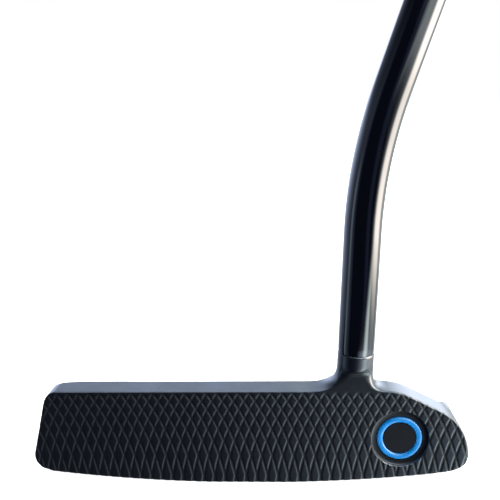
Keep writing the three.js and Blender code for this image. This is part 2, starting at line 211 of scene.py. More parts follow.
def surface_net(field, axes):
    """Vertices and quads of the zero surface of a field sampled on a grid (naive surface nets).

    Each grid edge that crosses the surface gives a quad between the four cells around it, and each
    cell's vertex is the mean of the crossings on its edges.
    """
    inside = field < 0
    cells, crossings, quads = [], [], []
    for axis in range(3):
        low, high = [slice(None)] * 3, [slice(None)] * 3
        low[axis], high[axis] = slice(None, -1), slice(1, None)
        start = np.argwhere(inside[tuple(low)] != inside[tuple(high)])
        end = start.copy()
        end[:, axis] += 1
        at_start, at_end = field[tuple(start.T)], field[tuple(end.T)]
        point = np.column_stack([axes[k][start[:, k]] for k in range(3)]).astype(float)
        step = axes[axis][end[:, axis]] - axes[axis][start[:, axis]]
        point[:, axis] += step * at_start / (at_start - at_end)
        second, third = [k for k in range(3) if k != axis]
        around = []
        for back_second, back_third in ((0, 0), (1, 0), (1, 1), (0, 1)):
            cell = start.copy()
            cell[:, second] -= back_second
            cell[:, third] -= back_third
            around.append(np.ravel_multi_index(cell.T, field.shape))
            cells.append(around[-1])
            crossings.append(point)
        quad = np.column_stack(around)
        flip = (at_start < 0) == (axis == 1)
        quad[flip] = quad[flip, ::-1]
        quads.append(quad)
    used, index = np.unique(np.concatenate(cells), return_inverse=True)
    crossings = np.concatenate(crossings)
    count = np.bincount(index)
    vertices = np.column_stack([np.bincount(index, crossings[:, k]) / count for k in range(3)])
    return vertices, np.searchsorted(used, np.concatenate(quads))


# ---------------------------------------------------------------- the head's outlines

def front_outline():
    """The blade seen from the front, counter-clockwise from the heel end of the sole's flat."""
    centre_z = math.sqrt(SOLE_RADIUS ** 2 - LANDING_HALF ** 2)
    half = math.pi / 2
    landing = math.asin(LANDING_HALF / SOLE_RADIUS)
    nx, nz, nr = HEEL_NOSE
    slope = (nx + nr * math.sin(HEEL_SLOPE), nz + nr * math.cos(HEEL_SLOPE))
    top_end = slope[0] - (BLADE_TOP - slope[1]) / math.tan(HEEL_SLOPE)
    down = math.cos(HEEL_SLOPE) * HEEL_SOFTEN, math.sin(HEEL_SLOPE) * HEEL_SOFTEN
    slope_top = (top_end + down[0], BLADE_TOP - down[1])
    toe_x, toe_r = TOE_SHOULDER
    toe_side = math.pi - TOE_LEAN
    return np.concatenate([
        arc(0, centre_z, SOLE_RADIUS, -half + landing, -half + SOLE_END, 14),
        arc(*HEEL_SOLE_CORNER, -half + SOLE_CORNER_START, 0, 14),
        arc(nx, nz, nr, 0, half - HEEL_SLOPE, 22),
        bezier(slope_top, (top_end, BLADE_TOP), (top_end - HEEL_SOFTEN, BLADE_TOP), 9),
        arc(toe_x, BLADE_TOP - toe_r, toe_r, half, toe_side, 16),
        arc(*TOE_SOLE_CORNER, toe_side, math.pi + half - SOLE_CORNER_START, 14),
        arc(0, centre_z, SOLE_RADIUS, -half - SOLE_END, -half - landing, 14),
    ])


def side_outline():
    """The blade, bumpers and sole in section. It goes past the face and the top, which are cut later."""
    wall, back = WALL_Y, HEAD_DEPTH
    front, top = -6.0, BLADE_TOP + 12
    sole_turn, back_low = (back - 0.6, 2.4), (back, 3.4)
    lip = (back - 5, BUMPER_BACK)
    dip = (BUMPER_DIP_START, BUMPER_FRONT - 1)
    shelf = (wall + 3, BUMPER_FRONT)
    return np.concatenate([
        [(front, 0), (LANDING_BACK, 0)],
        bezier((LANDING_BACK, 0), (LANDING_BACK + 7, 0), sole_turn, 10),
        bezier(sole_turn, (back, 2.6), back_low, 5),
        bezier((back - 0.4, BUMPER_BACK - 3), (back - 0.5, BUMPER_BACK), lip, 9),
        bezier(lip, (BUMPER_DIP_END, BUMPER_BACK + 0.4), dip, 9),
        bezier(dip, (BUMPER_DIP_START - 2.5, BUMPER_FRONT), shelf, 7),
        bezier(shelf, (wall, BUMPER_FRONT), (wall, BUMPER_FRONT + 3), 8),
        [(wall, top), (front, top)],
    ])


def rounded_corner(u, v, radius):
    """Distance to a corner between u = radius and v = radius, rounded to that radius."""
    return np.hypot(np.maximum(u, 0), np.maximum(v, 0)) + np.minimum(np.maximum(u, v), 0) - radius


def plan_distance(x, y):
    """The head seen from above: nearly straight ends and rounded back corners."""
    half = PLAN_HALF - PLAN_TAPER * np.clip(y, 0, LANDING_BACK)
    return rounded_corner(np.abs(x) - half + PLAN_CORNER, y - HEAD_DEPTH + PLAN_CORNER, PLAN_CORNER)


def cavity_distance(x, y):
    """The space behind the blade seen from above, open at the back."""
    from_side = np.abs(x) - CAVITY_HALF + CAVITY_CORNER
    return rounded_corner(from_side, WALL_Y + CAVITY_CORNER - y, CAVITY_CORNER)


def face_depth(y, z):
    """Distance of a point behind the plane of the face."""
    return y * math.cos(LOFT) - z * math.sin(LOFT)


def head_field(x, y, z):
    """The head without its milled pattern, before the front is cut to the plane of the face."""
    front = outline_distance(front_outline(), x, z)
    side = outline_distance(side_outline(), y, z)
    plan = plan_distance(x, y)

    # Edges are crisp at the sole, a little rounder higher up and roundest on the toe's upper corner.
    sole_soft = np.clip((z - 3) / 6, 0.06, 1)
    toe_corner = np.clip((-x - 44) / 7, 0, 1) * np.clip((z - 17) / 5, 0, 1)
    body = blend_max(blend_max(front, plan, 1.6), side, 0.6 * sole_soft + 1.3 * toe_corner ** 2)
    floor = FLANGE_TOP - FLANGE_FALL * (y - WALL_Y) - z
    cavity = blend_max(cavity_distance(x, y), floor, 3.0)
    body = blend_max(body, -cavity, 0.9)

    # The neck, around its own leaning axis. Its foot narrows and runs out on the back of the blade.
    cos, sin = math.cos(NECK_LEAN), math.sin(NECK_LEAN)
    along = (x - NECK_X) * sin + (z - SEAM_HEIGHT) * cos
    across = (x - NECK_X) * cos - (z - SEAM_HEIGHT) * sin
    radius = np.hypot(across, y - NECK_Y)
    below = np.maximum(BLADE_TOP - SEAM_HEIGHT - along, 0)
    neck = radius - (NECK_RADIUS + NECK_SHOULDER - NECK_TAPER * below)
    neck = blend_max(neck, along + 0.02, 0.6)
    neck = np.maximum(neck, NECK_FOOT - z)

    # On the toe side the top line climbs gently to the neck; on the heel side the corner is tighter.
    toe_side = np.clip(0.5 - across / 6, 0, 1)
    reach = np.clip((radius - NECK_RADIUS) / 8, 0, 1)
    climb = TOP_CLIMB * (1 - reach * reach * (3 - 2 * reach)) * toe_side
    climb = climb * np.clip((z - NECK_FOOT) / 6, 0, 1)
    return blend_min(body - climb, neck, 4.0 + 1.5 * toe_side)


def cut_front(field, x, y, z, behind):
    """Cuts a field to the plane of the face moved back by behind, up to the ledge on the neck.

    The edge is rounder at the ledge and at the heel nose than along the top line and the sole.
    """
    cut = blend_max(face_depth(y, z) - behind, z - LEDGE_HEIGHT, 1.6)
    at_ledge = np.clip((z - 27.5) / 2, 0, 1)
    at_nose = np.clip((x - 47) / 8, 0, 1) * np.clip((15 - z) / 5, 0, 1)
    return blend_max(field, -cut, EDGE_ROUND + 0.9 * at_ledge + 0.5 * at_nose)


def groove_relief(x, h):
    """Depth of the milled pattern at a point of the face, from two crossing families of arcs."""
    rise = h - CUTTER_HEIGHT
    reach = np.sqrt(np.maximum(CUTTER_RADIUS ** 2 - rise ** 2, 1))
    deepest = 0
    for feed, side in ((FEED_RIGHT, 1), (FEED_LEFT, -1)):
        offset = (x - feed - side * reach) / PITCH
        offset = (offset - np.round(offset)) * PITCH * reach / CUTTER_RADIUS
        t = np.clip(np.abs(offset) / (GROOVE_WIDTH / 2), 0, 1)
        deepest = np.maximum(deepest, GROOVE_DEPTH * (1 - t ** 2))
    return deepest


def spaced(start, end, step):
    """Even values from start to end, about step apart."""
    return np.linspace(start, end, int(round((end - start) / step)) + 1)


def block_field(x, y, z):
    """The whole head with the milled pattern cut into its face, before pocket and slots."""
    h = y * math.sin(LOFT) + z * math.cos(LOFT)
    on_blade = np.clip((BLADE_TOP - 0.1 - z) / 0.9, 0, 1)
    relief = groove_relief(x, h) * on_blade
    return cut_front(head_field(x, y, z), x, y, z, relief)


# ---------------------------------------------------------------- round pieces

def turned(profile, segments):
    """Vertices and faces of a lathed solid about Z, from [radius, z] pairs that go up on the outside.

    The profile closes on itself, or starts and ends on the axis.
    """
    closed = profile[0][0] > 0
    vertices, rings = [], []
    for radius, z in profile:
        if radius == 0:
            rings.append([len(vertices)] * segments)
            vertices.append((0, 0, z))
            continue
        rings.append(list(range(len(vertices), len(vertices) + segments)))
        for k in range(segments):
            angle = 2 * math.pi * k / segments
            vertices.append((radius * math.cos(angle), radius * math.sin(angle), z))
    pairs = list(zip(rings, rings[1:] + rings[:1])) if closed else list(zip(rings, rings[1:]))
    faces = []
    for low, high in pairs:
        for k in range(segments):
            n = (k + 1) % segments
            corners = [low[k], low[n], high[n], high[k]]
            face = [c for i, c in enumerate(corners) if c != corners[i - 1]]
            if len(face) > 2:
                faces.append(face)
    return np.array(vertices), faces


def centre_line(distance):
    """Where the shaft's centre line is, and how far it leans, at distances from the seam."""
    straight = np.minimum(distance, BEND_START)
    lean = NECK_LEAN + np.clip(distance - BEND_START, 0, BEND_LENGTH) / BEND_RADIUS
    beyond = np.maximum(distance - BEND_START - BEND_LENGTH, 0)
    x = NECK_X + straight * math.sin(NECK_LEAN) + beyond * np.sin(lean)
    x = x + BEND_RADIUS * (math.cos(NECK_LEAN) - np.cos(lean))
    z = SEAM_HEIGHT + straight * math.cos(NECK_LEAN) + beyond * np.cos(lean)
    z = z + BEND_RADIUS * (np.sin(lean) - math.sin(NECK_LEAN))
    return x, z, lean


def bent(vertices):
    """Bends points drawn straight up Z, with z = 0 at the seam, so that they follow the centre line."""
    x, z, lean = centre_line(vertices[:, 2])
    across = vertices[:, 0]
    return np.column_stack([
        x + across * np.cos(lean),
        NECK_Y + vertices[:, 1],
        z - across * np.sin(lean),
    ])


def onto_face(vertices):
    """Turns points drawn about Z, with the outside at z = 0, so that +Z leaves the face at the ring."""
    turn = Matrix.Rotation(math.pi / 2 - LOFT, 3, "X")
    place = np.array([RING_X, RING_HEIGHT * math.sin(LOFT), RING_HEIGHT * math.cos(LOFT)])
    return vertices @ np.array(turn).T + place


def cap_top():
    """Distance from the seam to the top of the cap, whose thumb edge is the highest point of the club."""
    bend_end = BEND_START + BEND_LENGTH
    _, z, lean = centre_line(bend_end)
    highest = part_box("grip_cap")[1][2] / MM
    return bend_end + (highest - sum(GRIP_THUMB) * math.sin(lean) - z) / math.cos(lean)


CAP_TOP = cap_top()
SHAFT_END = CAP_TOP - CAP_THICKNESS - 1
GRIP_START = CAP_TOP - GRIP_LENGTH


def make_head(material):
    """The steel block: a fine surface net of the blade and neck, then the post and the plain cuts."""
    # The grid leans back with the face, so that thin layers can follow the pattern.
    step = 0.19
    xs = spaced(HEAD_LOW[0] - 1, HEAD_HIGH[0] + 1, step)
    zs = spaced(-0.8, SEAM_HEIGHT + 0.8, step)
    depths = np.concatenate([
        spaced(-2.6, -0.3, 0.23)[:-1],
        spaced(-0.3, 0.4, 0.07)[:-1],
        spaced(0.4, 2, 0.2)[:-1],
        spaced(2, HEAD_DEPTH + 1.2, 0.4),
    ])
    x, z = xs[:, None, None], zs[None, None, :]
    y = depths[None, :, None] + z * math.tan(LOFT)
    vertices, quads = surface_net(block_field(x, y, z), (xs, depths, zs))
    vertices[:, 1] += vertices[:, 2] * math.tan(LOFT)
    head = new_object("head_block", vertices, quads, material)

    post = [(0, -2), (POST_RADIUS, -2), (POST_RADIUS, POST_TOP - 1)]
    post += [(POST_TIP_RADIUS, POST_TOP), (0, POST_TOP)]
    combine(head, new_object("post", *placed(bent, turned(post, 48)), material), "UNION")

    # The pocket for the ring, with a small chamfer at its rim, and the groove in its floor.
    rim = POCKET_RADIUS
    pocket = [(0, -POCKET_DEPTH), (rim - 0.35, -POCKET_DEPTH), (rim - 0.1, -POCKET_DEPTH + 0.15)]
    pocket += [(rim, -0.25), (rim + 0.3, 0.12), (rim + 0.3, 1.5), (0, 1.5)]
    combine(head, new_object("pocket", *placed(onto_face, turned(pocket, 128)), material), "DIFFERENCE")
    bottom, top = -POCKET_DEPTH - RING_GROOVE, -POCKET_DEPTH + 1
    groove = [(RING_INNER, top), (RING_INNER, bottom), (RING_OUTER, bottom), (RING_OUTER, top)]
    combine(head, new_object("groove", *placed(onto_face, turned(groove, 128)), material), "DIFFERENCE")

    low, high = sight_line_box()
    slot = box_mesh(low - GAP, high + (GAP, GAP, 3))
    combine(head, new_object("slot", *slot, material), "DIFFERENCE")
    head.data.set_sharp_from_angle(angle=math.radians(38))
    return head


def sight_line_box():
    """Corners of the painted line, in the drawing position."""
    return tuple(np.array(c) / MM - (0, SHIFT_Y, 0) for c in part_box("sight_line_enamel"))


def placed(place, shape):
    """A shape's vertices moved by place, and its faces."""
    vertices, faces = shape
    return place(vertices), faces


def box_mesh(low, high):
    """Corners and faces of a plain box."""
    corners = [[(low, high)[i][0], (low, high)[j][1], (low, high)[k][2]]
               for i in (0, 1) for j in (0, 1) for k in (0, 1)]
    faces = [[0, 1, 3, 2], [4, 6, 7, 5], [0, 4, 5, 1], [2, 3, 7, 6], [0, 2, 6, 4], [1, 5, 7, 3]]
    return corners, faces


def make_ring(material):
    """The blue enamel ring: a domed fill with soft shoulders."""
    inner, outer = RING_INNER + GAP, RING_OUTER - GAP
    bottom = -POCKET_DEPTH - RING_GROOVE + GAP
    top = -POCKET_DEPTH + RING_RISE
    shoulder = arc(outer - RING_SHOULDER, top - RING_SHOULDER, RING_SHOULDER, 0, math.pi / 2, 9)
    profile = [(inner, bottom), (outer, bottom), *shoulder]
    profile += [((inner + outer) / 2, top + RING_CROWN)]
    profile += [(inner + outer - x, z) for x, z in shoulder[::-1]]
    return new_object("ring_enamel_fill", *placed(onto_face, turned(profile, 128)), material, 50)


def make_sight_line(material):
    """The painted aiming line on the flange, with soft edges."""
    piece = new_object("sight_line_fill", *box_mesh(*sight_line_box()), material, 40)
    bevel = piece.modifiers.new("soft_edges", "BEVEL")
    bevel.width = 0.15 * MM
    bevel.segments = 3
    return piece


def shaft_profile():
    """Outside from the seam up, with a soft rise at every step, then the bore back down."""
    tip = NECK_RADIUS
    grow = (BUTT_RADIUS - tip) / STEP_COUNT
    outside = [(tip - TIP_DROP - 0.05, 0.0), (tip - TIP_DROP, 0.04)]
    outside += [(tip - TIP_DROP * (1 - z / TIP_ROUND) ** 2, z) for z in np.arange(0.2, TIP_ROUND, 0.3)]
    outside += [(tip, z) for z in np.arange(TIP_ROUND, STEP_START - 1, 1.5)]
    for i in range(STEP_COUNT):
        z = STEP_START + i * STEP_SPACING
        for rise, grown in ((0, 0), (0.3, 0.15), (0.7, 0.85), (1, 1)):
            outside.append((tip + grow * (i + grown), z + STEP_RISE * rise))
        outside.append((tip + grow * (i + 1), z + 4))
    outside.append((BUTT_RADIUS, SHAFT_END))
    bend_rings = np.linspace(BEND_START + BEND_LENGTH, BEND_START, 20)
    inside = [(BUTT_RADIUS - SHAFT_WALL, SHAFT_END)]
    inside += [(BUTT_RADIUS - SHAFT_WALL, STEP_START + STEP_COUNT * STEP_SPACING + 20)]
    inside += [(tip - SHAFT_WALL, STEP_START - 10)]
    inside += [(tip - SHAFT_WALL, z) for z in bend_rings]
    inside += [(tip - SHAFT_WALL, GAP)]
    return outside + inside


def make_shaft(material):
    """The bent, stepped steel tube."""
    return new_object("shaft_tube", *placed(bent, turned(shaft_profile(), 96)), material, 35)


# ---------------------------------------------------------------- grip

def grip_section(along):
    """Half-width, thumb-side depth and palm-side depth of the grip at fractions of its length."""
    swell = GRIP_SWELL * np.exp(-(((along - SWELL_PLACE) / SWELL_SPREAD) ** 2))
    half, thumb, palm = (low + growth * along for low, growth in (GRIP_HALF, GRIP_THUMB, GRIP_PALM))
    return half, thumb, palm + swell


def grip_outline(count):
    """Unit outline of the grip, flat on the thumb side at -X."""
    flat = THUMB_FLAT
    corner_low = bezier((-1, -flat), (-1, -1), (-flat, -1), count // 10)[:-1]
    bottom = bezier((-flat, -1), (-flat / 2, -1), (0, -1), count // 10)[:-1]
    palm = arc(0, 0, 1, -math.pi / 2, math.pi / 2, count // 2)[:-1]
    side = bezier((0, 1), (-flat / 2, 1), (-flat, 1), count // 10)[:-1]
    corner_high = bezier((-flat, 1), (-1, 1), (-1, flat), count // 10)[:-1]
    front = np.column_stack([np.full(count // 5, -1.0), np.linspace(flat, -flat, count // 5)])[:-1]
    return np.concatenate([corner_low, bottom, palm, side, corner_high, front])


def tube_faces(rings, count, closed):
    """Quads between consecutive rings of count points."""
    faces = []
    last = rings if closed else rings - 1
    for i in range(last):
        a, b = i * count, ((i + 1) % rings) * count
        faces += [[a + k, a + (k + 1) % count, b + (k + 1) % count, b + k] for k in range(count)]
    return faces


def wave(place, spacing):
    """Goes between 1 and -1 along place, once for each spacing."""
    return np.cos(2 * math.pi * place / spacing)


def make_grip(material):
    """Pistol grip: fine ribs across the thumb flat, pimples around the palm, plain ends."""
    length = CAP_TOP - CAP_THICKNESS - GAP - GRIP_START
    outline = grip_outline(150)
    count = len(outline)
    rings = 420
    along = np.linspace(0, 1, rings)
    half, thumb, palm = grip_section(along)
    x = np.where(outline[None, :, 0] < 0, thumb[:, None], palm[:, None]) * outline[None, :, 0]
    y = half[:, None] * outline[None, :, 1]
    distance = along * length

    # Ribs and pimples are cut in, so that the outline stays the grip's real size.
    ends = np.clip(np.minimum(distance - 8, length - 12 - distance) / 3, 0, 1)[:, None]
    ribs = 0.5 + 0.5 * wave(distance, RIB_SPACING)[:, None]
    girth = np.cumsum(np.hypot(*np.diff(outline, axis=0, prepend=outline[-1:]).T)) * GRIP_MEAN_RADIUS
    pimples = 0.5 + 0.5 * wave(distance, PIMPLE_SPACING)[:, None] * wave(girth, PIMPLE_SPACING)
    on_flat = (np.abs(outline[:, 1]) < THUMB_FLAT - 0.1) & (outline[:, 0] < -0.95)
    cut = ends * np.where(on_flat, RIB_DEPTH * ribs, PIMPLE_DEPTH * (1 - pimples ** 3))
    from_end = 1 - np.clip(distance / 2.5, 0, 1)
    round_end = 0.9 * (1 - np.sqrt(1 - from_end ** 2))[:, None]
    shrink = 1 - (cut + round_end) / np.hypot(x, y)
    z = np.broadcast_to((GRIP_START + distance)[:, None], x.shape)
    outer = np.stack([x * shrink, y * shrink, z], -1)

    angle = np.arctan2(outline[:, 1], outline[:, 0])
    bore = BUTT_RADIUS + 0.25 + 2 * GAP
    inner = [np.column_stack([bore * np.cos(angle), bore * np.sin(angle), np.full(count, z)])
             for z in (GRIP_START + length, GRIP_START)]
    vertices = np.concatenate([outer.reshape(-1, 3), *inner])
    return new_object("grip_rubber", bent(vertices), tube_faces(rings + 2, count, True), material, 60)


def make_cap(material):
    """The end cap: the grip's outline with a rounded rim, a shallow dish and a plain raised button."""
    outline = grip_outline(150)
    count = len(outline)
    half, thumb, palm = grip_section(np.array(1.0))
    x = np.where(outline[:, 0] < 0, thumb, palm) * outline[:, 0]
    y = half * outline[:, 1]
    base = CAP_TOP - CAP_THICKNESS
    rim = [(1, 0), (1, 1.8), (0.985, 2.5), (0.955, 2.88), (0.92, 3.0), (0.8, 3.0)]
    dish = [(0.76, 2.85), (0.72, 2.5), (0.68, 2.4), (0.34, 2.4)]
    button = [(0.32, 2.5), (0.3, 2.8), (0.27, 2.9), (0.1, 2.92)]
    levels = rim + dish + button
    rings = [np.column_stack([x * s, y * s, np.full(count, base + z)]) for s, z in levels]
    vertices = np.concatenate(rings)
    faces = tube_faces(len(levels), count, False)
    faces.append(list(range(count))[::-1])
    faces.append([(len(levels) - 1) * count + k for k in range(count)])
    return new_object("grip_end_cap", bent(vertices), faces, material, 50)


# ---------------------------------------------------------------- materials

class Nodes:
    """Short calls for building a node tree."""

    def __init__(self, tree):
        self.tree = tree
        tree.nodes.clear()

    def add(self, kind, inputs=(), **settings):
        node = self.tree.nodes.new(kind)
        for name, value in settings.items():
            setattr(node, name, value)
        for name, value in dict(inputs).items():
            self.feed(node.inputs[name], value)
        return node

    def feed(self, socket, value):
        if isinstance(value, bpy.types.NodeSocket):
            self.tree.links.new(value, socket)
        else:
            socket.default_value = value

    def math(self, operation, a, b=0.0):
        node = self.add("ShaderNodeMath", operation=operation)
        self.feed(node.inputs[0], a)
        self.feed(node.inputs[1], b)
        return node.outputs[0]

    def product(self, first, *others):
        """All the values multiplied together."""
        for other in others:
            first = self.math("MULTIPLY", first, other)
        return first

    def clip(self, value, low, high):
        return self.math("MINIMUM", self.math("MAXIMUM", value, low), high)

    def smooth(self, value, start, end, low=0.0, high=1.0):
        """Goes smoothly from low to high while value goes from start to end."""
        node = self.add("ShaderNodeMapRange", interpolation_type="SMOOTHSTEP")
        for name, number in (("Value", value), ("From Min", start), ("From Max", end),
                             ("To Min", low), ("To Max", high)):
            self.feed(node.inputs[name], number)
        return node.outputs["Result"]

    def mix(self, factor, a, b):
        node = self.add("ShaderNodeMix", data_type="RGBA")
        for index, value in ((0, factor), (6, a), (7, b)):
            self.feed(node.inputs[index], value)
        return node.outputs[2]

    def noise(self, scale, detail, roughness, stretch=(1, 1, 1)):
        """Noise in object space, with the scale per metre."""
        position = self.add("ShaderNodeTexCoord").outputs["Object"]
        if stretch != (1, 1, 1):
            position = self.add("ShaderNodeMapping", {"Vector": position, "Scale": stretch}).outputs[0]
        node = self.add("ShaderNodeTexNoise", {"Vector": position, "Scale": scale, "Detail": detail,
                                               "Roughness": roughness})
        return node.outputs["Fac"]


def new_material(name):
    """A material and its empty node tree."""
    material = bpy.data.materials.new(name)
    material.use_nodes = True
    return material, Nodes(material.node_tree)


def finish_material(nodes, inputs, height, strength, distance):
    """Adds the shader and the output, with fine bumps whose depth is distance in millimetres."""
    relief = {"Height": height, "Strength": strength, "Distance": distance * MM}
    bump = nodes.add("ShaderNodeBump", relief)
    shader = nodes.add("ShaderNodeBsdfPrincipled", {**inputs, "Normal": bump.outputs[0]})
    nodes.add("ShaderNodeOutputMaterial", {"Surface": shader.outputs[0]})


def groove_mask(n, x, h):
    """1 along the middle of the face's grooves and 0 on the pads between them."""
    rise = n.math("SUBTRACT", h, CUTTER_HEIGHT)
    reach = n.math("SQRT", n.math("SUBTRACT", CUTTER_RADIUS ** 2, n.math("MULTIPLY", rise, rise)))
    squeeze = n.math("MULTIPLY", reach, PITCH / CUTTER_RADIUS)
    masks = []
    for feed, side in ((FEED_RIGHT, 1), (FEED_LEFT, -1)):
        turns = n.math("DIVIDE", n.math("SUBTRACT", n.math("SUBTRACT", x, feed),
                                        n.math("MULTIPLY", reach, side)), PITCH)
        offset = n.math("SUBTRACT", turns, n.math("ROUND", turns))
        away = n.math("MULTIPLY", n.math("ABSOLUTE", offset), squeeze)
        masks.append(n.smooth(away, GROOVE_WIDTH * 0.3, GROOVE_WIDTH * 0.48, 1, 0))
    return n.math("MAXIMUM", *masks)


def milled_steel():
    """Black oxide steel: satin, rougher in the milled grooves, with painted shade that darkens the grooves
    and the ring's pocket.
    """
    material, n = new_material("black_milled_steel")
    place = n.add("ShaderNodeTexCoord").outputs["Object"]
    x, y, z = n.add("ShaderNodeSeparateXYZ", {"Vector": place}).outputs
    x, y, z = (n.math("DIVIDE", c, MM) for c in (x, y, z))
    y = n.math("SUBTRACT", y, SHIFT_Y)
    lean = (math.sin(LOFT), math.cos(LOFT))
    h = n.math("ADD", n.math("MULTIPLY", y, lean[0]), n.math("MULTIPLY", z, lean[1]))
    depth = n.math("SUBTRACT", n.math("MULTIPLY", y, lean[1]), n.math("MULTIPLY", z, lean[0]))
    near_face = n.smooth(depth, 0.3, 0.45, 1, 0)
    under_edge = n.smooth(z, BLADE_TOP - 1.1, BLADE_TOP - 0.2, 1, 0)
    groove = n.product(groove_mask(n, x, h), near_face, under_edge)

    from_ring = n.math("SQRT", n.math("ADD", n.math("POWER", n.math("SUBTRACT", x, RING_X), 2),
                                      n.math("POWER", n.math("SUBTRACT", h, RING_HEIGHT), 2)))
    in_pocket = n.smooth(from_ring, POCKET_RADIUS - 0.3, POCKET_RADIUS, 1, 0)
    pocket = n.product(in_pocket, n.smooth(depth, 0.3, 0.5), n.smooth(depth, 1.5, 2, 1, 0))

    grain = n.noise(9000, 4, 0.6)
    patches = n.noise(160, 4, 0.55)
    tone = n.mix(n.smooth(patches, 0.3, 0.7), (0.108, 0.122, 0.145, 1), (0.132, 0.148, 0.176, 1))
    # Painted shade: a darker tone along the milled grooves.
    tone = n.mix(groove, tone, (0.094, 0.104, 0.118, 1))
    # Painted shade: a darker tone inside the ring's recessed pocket, floor and wall.
    tone = n.mix(pocket, tone, (0.07, 0.076, 0.088, 1))
    rough = n.math("ADD", n.smooth(grain, 0.3, 0.7, 0.28, 0.32), n.math("MULTIPLY", groove, 0.08))
    finish_material(n, {"Base Color": tone, "Metallic": 1.0, "Roughness": rough},
                    grain, strength=0.15, distance=0.02)
    return material


def black_chrome():
    """Black plated steel, nearly a mirror, with faint haze and fine polishing marks along the shaft."""
    material, n = new_material("black_chrome_steel")
    marks = n.noise(500, 5, 0.7, stretch=(1, 1, 0.02))
    haze = n.noise(120, 4, 0.6)
    tone = n.mix(haze, (0.12, 0.128, 0.15, 1), (0.15, 0.157, 0.175, 1))
    rough = n.math("ADD", n.smooth(marks, 0.35, 0.75, 0.05, 0.085), n.smooth(haze, 0.45, 0.75, 0, 0.03))
    finish_material(n, {"Base Color": tone, "Metallic": 1.0, "Roughness": rough},
                    marks, strength=0.04, distance=0.02)
    return material


def enamel(name, deep, light, rough):
    """Glossy paint: the colour pools a little unevenly under a clear surface."""
    material, n = new_material(name)
    pooled = n.noise(420, 3, 0.5)
    tone = n.mix(n.smooth(pooled, 0.3, 0.7), deep, light)
    look = {"Base Color": tone, "Roughness": rough, "Coat Weight": 0.8, "Coat Roughness": 0.06}
    finish_material(n, look, pooled, strength=0.12, distance=0.05)
    return material


def rubber(name, tone, pale, rough):
    """Matt rubber with fine grain and a dusty bloom on what sticks out."""
    material, n = new_material(name)
    grain = n.noise(3500, 4, 0.65)
    bloom = n.noise(90, 4, 0.6)
    edge = n.add("ShaderNodeNewGeometry").outputs["Pointiness"]
    dust = n.math("MULTIPLY", n.smooth(edge, 0.5, 0.6), n.smooth(bloom, 0.35, 0.7, 0.2, 0.7))
    matt = n.smooth(grain, 0.3, 0.7, rough, rough + 0.15)
    look = {"Base Color": n.mix(dust, tone, pale), "Roughness": matt, "Specular IOR Level": 0.25}
    finish_material(n, look, grain, strength=0.35, distance=0.05)
    return material


def epoxy():
    """Cured amber glue, slightly cloudy."""
    material, n = new_material("epoxy")
    cloud = n.noise(700, 4, 0.6)
    tone = n.mix(cloud, (0.55, 0.45, 0.25, 1), (0.75, 0.66, 0.45, 1))
    rough = n.smooth(cloud, 0.3, 0.7, 0.3, 0.5)
    look = {"Base Color": tone, "Roughness": rough, "Transmission Weight": 0.15}
    finish_material(n, look, cloud, strength=0.2, distance=0.1)
    return material


def paper_tape():
    """Off-white masking tape, creped across its length."""
    material, n = new_material("grip_tape")
    crepe = n.noise(900, 4, 0.6, stretch=(0.15, 0.15, 1))
    tone = n.mix(n.smooth(crepe, 0.3, 0.7), (0.66, 0.6, 0.48, 1), (0.84, 0.8, 0.7, 1))
    rough = n.smooth(crepe, 0.3, 0.7, 0.8, 0.95)
    finish_material(n, {"Base Color": tone, "Roughness": rough}, crepe, strength=0.5, distance=0.1)
    return material


# ---------------------------------------------------------------- the pieces

def place_piece(piece, slot, *nodes):
    """Puts a piece under the root body, in place of the frame's own nodes, which it hides."""
    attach(piece, "root")
    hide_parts(*nodes)


def repaint(node, material):
    """Keeps the frame's own mesh, with a new material."""
    for material_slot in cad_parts[node].material_slots:
        material_slot.material = material


place_piece(make_head(milled_steel()), "black_milled_steel", "putter_head")
blue = enamel("blue_enamel", (0.001, 0.14, 0.43, 1), (0.002, 0.17, 0.5, 1), 0.2)
place_piece(make_ring(blue), "blue_enamel", "face_ring_enamel")
white = enamel("white_enamel", (0.74, 0.75, 0.76, 1), (0.83, 0.84, 0.84, 1), 0.35)
place_piece(make_sight_line(white), "white_enamel", "sight_line_enamel")
place_piece(make_shaft(black_chrome()), "black_chrome_steel", "shaft")
dark = rubber("grip_rubber", (0.007, 0.0075, 0.009, 1), (0.035, 0.036, 0.04, 1), 0.62)
place_piece(make_grip(dark), "grip_rubber", "grip")
cap_dark = rubber("cap_rubber", (0.009, 0.009, 0.01, 1), (0.05, 0.05, 0.053, 1), 0.5)
place_piece(make_cap(cap_dark), "cap_rubber", "grip_cap")
repaint("shaft_bond", epoxy())
repaint("grip_tape", paper_tape())


# ---------------------------------------------------------------- floor, light and camera

def make_floor():
    """A plain white sweep, much larger than the club. Mirror reflections look past it to the studio."""
    material, n = new_material("floor_white")
    mottle = n.noise(3, 3, 0.5)
    tone = n.mix(mottle, (0.9, 0.9, 0.9, 1), (0.93, 0.93, 0.93, 1))
    diffuse = n.add("ShaderNodeBsdfDiffuse", {"Color": tone})
    glow = n.add("ShaderNodeEmission", {"Color": (1, 1, 1, 1), "Strength": 0.9})
    both = n.add("ShaderNodeAddShader")
    n.tree.links.new(diffuse.outputs[0], both.inputs[0])
    n.tree.links.new(glow.outputs[0], both.inputs[1])
    n.add("ShaderNodeOutputMaterial", {"Surface": both.outputs[0]})
    size = 60.0 / MM
    corners = [(-size, -size, 0), (size, -size, 0), (size, size, 0), (-size, size, 0)]
    floor = new_object("floor", corners, [[0, 1, 2, 3]], material)
    floor.visible_glossy = False
    floor.visible_shadow = False


